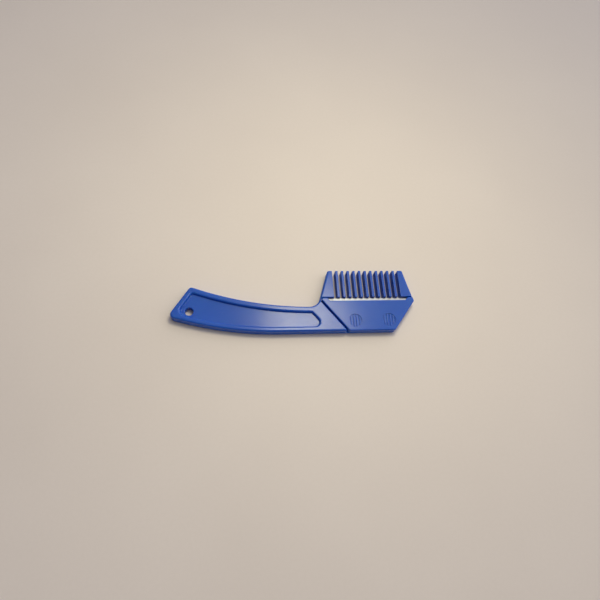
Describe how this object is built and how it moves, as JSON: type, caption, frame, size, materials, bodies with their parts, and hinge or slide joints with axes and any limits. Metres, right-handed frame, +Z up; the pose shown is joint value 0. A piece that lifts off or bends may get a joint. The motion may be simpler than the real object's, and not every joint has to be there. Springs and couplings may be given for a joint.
{
  "type": "dematting comb",
  "caption": "Hand comb for splitting matted coat: blunt teeth in front of a replaceable trapezoid blade, a slide-off ribbed blade cover and a curved handle with a hanging hole.",
  "frame": {"origin": "bottom centre of the whole comb lying on its back", "axes": "+X along the blade from the handle towards the far guard, +Y towards the tooth tips, +Z up from the back face"},
  "size_m": [0.177, 0.0482, 0.0068],
  "materials": {
    "blue_plastic": "satin moulded polypropylene",
    "blade_steel": "ground steel with a polished bevel"
  },
  "bodies": {
    "comb": {"handle": "blue_plastic", "comb_head": "blue_plastic", "blade": "blade_steel"},
    "cover": {"blade_cover": "blue_plastic"}
  },
  "joints": [
    {"name": "cover_slide", "type": "slide", "parent": "comb", "child": "cover", "axis": [1, 0, 0], "range_m": [0, 0.07]}
  ]
}
